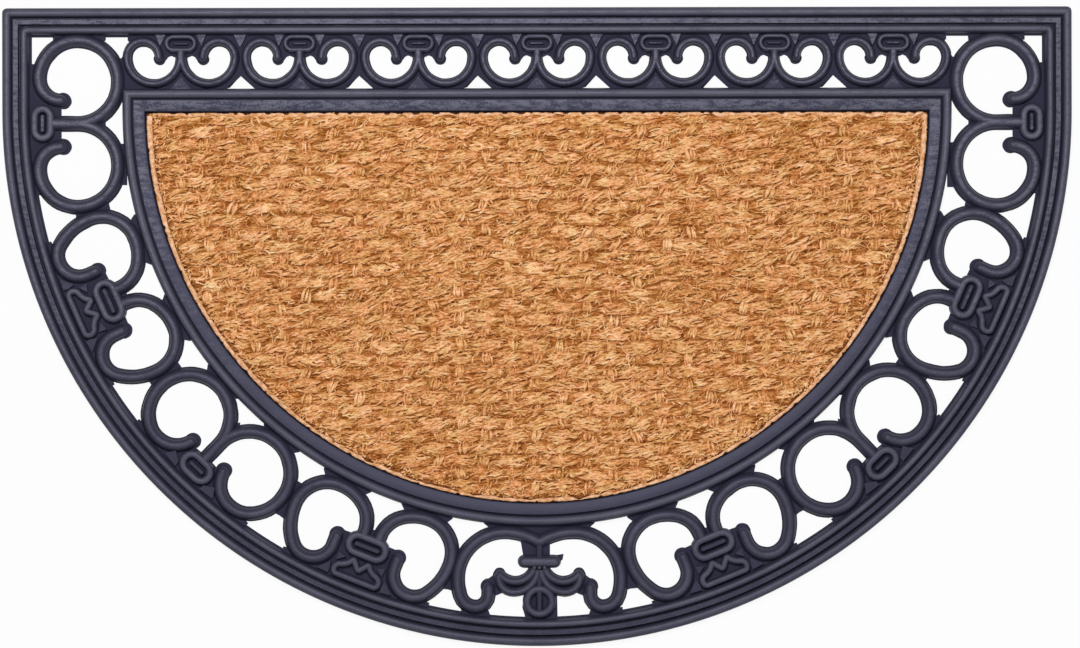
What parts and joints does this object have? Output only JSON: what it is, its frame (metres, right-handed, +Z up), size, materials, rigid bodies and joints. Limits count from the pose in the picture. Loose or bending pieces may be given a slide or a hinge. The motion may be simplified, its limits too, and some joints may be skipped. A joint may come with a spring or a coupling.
{
  "type": "half round doormat",
  "caption": "Half-round doormat: an openwork border of moulded rubber scrolls round a woven coir half-disc panel.",
  "frame": {"origin": "middle of the bounding box, on the underside", "axes": "+X along the straight edge, +Y towards the straight edge, +Z up out of the walked-on face"},
  "size_m": [0.75, 0.448, 0.0105],
  "materials": {
    "rubber": "dark charcoal moulded rubber with a slight violet cast, satin, a little dusty",
    "coir": "coarse woven golden brown coir, matt, with loose fibres"
  },
  "bodies": {
    "root": {"rubber_frame": "rubber", "coir_panel": "coir"}
  },
  "joints": []
}
